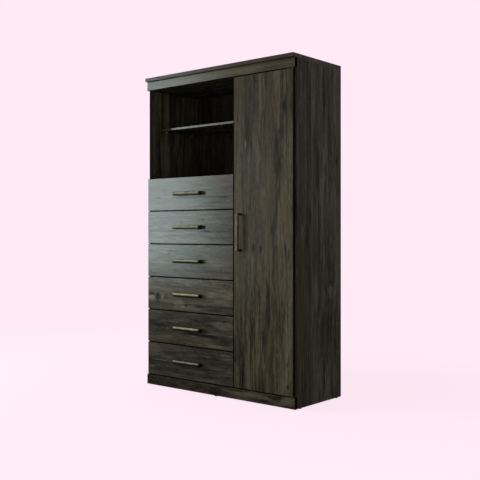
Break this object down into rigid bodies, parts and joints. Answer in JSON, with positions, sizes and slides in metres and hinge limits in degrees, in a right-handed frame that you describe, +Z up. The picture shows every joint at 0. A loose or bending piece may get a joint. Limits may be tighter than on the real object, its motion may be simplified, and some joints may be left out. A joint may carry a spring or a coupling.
{
  "type": "combination chest of drawers",
  "caption": "Tall chest in dark oak decor: a stack of drawers on ball bearing slides, an open niche with a shelf above them, and a full-height cupboard with a pivot-hung door.",
  "frame": {"origin": "centre of the bounding box at floor level, all drawers and the door closed", "axes": "+Z up; the fronts face -Y; +X runs to the cupboard end"},
  "size_m": [0.9, 0.383, 1.507],
  "materials": {
    "oak_decor": "dark textured oak decor foil, satin",
    "back_decor": "thin dark oak decor back board, matte",
    "drawer_lining": "graphite fine-line decor on particle board, matte",
    "bronze": "antique bronze plated bar, brushed satin",
    "zinc_steel": "zinc plated sheet steel",
    "black_plastic": "moulded black plastic"
  },
  "bodies": {
    "carcass": {"left_side": "oak_decor", "right_side": "oak_decor", "partition": "oak_decor", "inner_top": "oak_decor", "bottom_panel": "oak_decor", "top_board": "oak_decor", "fascia": "oak_decor", "plinth": "oak_decor", "rear_rails": "oak_decor", "niche_floor": "oak_decor", "niche_shelf": "oak_decor", "cupboard_shelves": "oak_decor", "back_left": "back_decor", "back_right": "back_decor", "shelf_pins": "zinc_steel", "pivot_plates": "zinc_steel", "cabinet_rails": "zinc_steel", "floor_glides": "black_plastic", "door_catch": "black_plastic"},
    "door": {"door_panel": "oak_decor", "door_handle": "bronze", "door_pivot_plates": "zinc_steel", "pivot_washers": "black_plastic", "catch_plate": "zinc_steel"},
    "drawer_1": {"drawer_1_front": "oak_decor", "drawer_1_box": "drawer_lining", "drawer_1_bottom": "drawer_lining", "drawer_1_handle": "bronze", "drawer_1_rails": "zinc_steel"},
    "drawer_1_mid": {"drawer_1_mid_rails": "zinc_steel"},
    "drawer_2": {"drawer_2_front": "oak_decor", "drawer_2_box": "drawer_lining", "drawer_2_bottom": "drawer_lining", "drawer_2_handle": "bronze", "drawer_2_rails": "zinc_steel"},
    "drawer_2_mid": {"drawer_2_mid_rails": "zinc_steel"},
    "drawer_3": {"drawer_3_front": "oak_decor", "drawer_3_box": "drawer_lining", "drawer_3_bottom": "drawer_lining", "drawer_3_handle": "bronze", "drawer_3_rails": "zinc_steel"},
    "drawer_3_mid": {"drawer_3_mid_rails": "zinc_steel"},
    "drawer_4": {"drawer_4_front": "oak_decor", "drawer_4_box": "drawer_lining", "drawer_4_bottom": "drawer_lining", "drawer_4_handle": "bronze", "drawer_4_rails": "zinc_steel"},
    "drawer_4_mid": {"drawer_4_mid_rails": "zinc_steel"},
    "drawer_5": {"drawer_5_front": "oak_decor", "drawer_5_box": "drawer_lining", "drawer_5_bottom": "drawer_lining", "drawer_5_handle": "bronze", "drawer_5_rails": "zinc_steel"},
    "drawer_5_mid": {"drawer_5_mid_rails": "zinc_steel"},
    "drawer_6": {"drawer_6_front": "oak_decor", "drawer_6_box": "drawer_lining", "drawer_6_bottom": "drawer_lining", "drawer_6_handle": "bronze", "drawer_6_rails": "zinc_steel"},
    "drawer_6_mid": {"drawer_6_mid_rails": "zinc_steel"}
  },
  "joints": [
    {"name": "door_swing", "type": "hinge", "parent": "carcass", "child": "door", "pos_m": [0.436, -0.1575, 0.75], "axis": [0, 0, 1], "range_deg": [0, 105]},
    {"name": "drawer_1_slide", "type": "slide", "parent": "carcass", "child": "drawer_1", "axis": [0, -1, 0], "range_m": [0, 0.28]},
    {"name": "drawer_1_mid_slide", "type": "slide", "parent": "carcass", "child": "drawer_1_mid", "axis": [0, -1, 0], "range_m": [0, 0.14]},
    {"name": "drawer_2_slide", "type": "slide", "parent": "carcass", "child": "drawer_2", "axis": [0, -1, 0], "range_m": [0, 0.28]},
    {"name": "drawer_2_mid_slide", "type": "slide", "parent": "carcass", "child": "drawer_2_mid", "axis": [0, -1, 0], "range_m": [0, 0.14]},
    {"name": "drawer_3_slide", "type": "slide", "parent": "carcass", "child": "drawer_3", "axis": [0, -1, 0], "range_m": [0, 0.28]},
    {"name": "drawer_3_mid_slide", "type": "slide", "parent": "carcass", "child": "drawer_3_mid", "axis": [0, -1, 0], "range_m": [0, 0.14]},
    {"name": "drawer_4_slide", "type": "slide", "parent": "carcass", "child": "drawer_4", "axis": [0, -1, 0], "range_m": [0, 0.28]},
    {"name": "drawer_4_mid_slide", "type": "slide", "parent": "carcass", "child": "drawer_4_mid", "axis": [0, -1, 0], "range_m": [0, 0.14]},
    {"name": "drawer_5_slide", "type": "slide", "parent": "carcass", "child": "drawer_5", "axis": [0, -1, 0], "range_m": [0, 0.28]},
    {"name": "drawer_5_mid_slide", "type": "slide", "parent": "carcass", "child": "drawer_5_mid", "axis": [0, -1, 0], "range_m": [0, 0.14]},
    {"name": "drawer_6_slide", "type": "slide", "parent": "carcass", "child": "drawer_6", "axis": [0, -1, 0], "range_m": [0, 0.28]},
    {"name": "drawer_6_mid_slide", "type": "slide", "parent": "carcass", "child": "drawer_6_mid", "axis": [0, -1, 0], "range_m": [0, 0.14]}
  ],
  "couplings": [
    {"joint": "drawer_1_mid_slide", "follows": "drawer_1_slide", "ratio": 0.5},
    {"joint": "drawer_2_mid_slide", "follows": "drawer_2_slide", "ratio": 0.5},
    {"joint": "drawer_3_mid_slide", "follows": "drawer_3_slide", "ratio": 0.5},
    {"joint": "drawer_4_mid_slide", "follows": "drawer_4_slide", "ratio": 0.5},
    {"joint": "drawer_5_mid_slide", "follows": "drawer_5_slide", "ratio": 0.5},
    {"joint": "drawer_6_mid_slide", "follows": "drawer_6_slide", "ratio": 0.5}
  ]
}
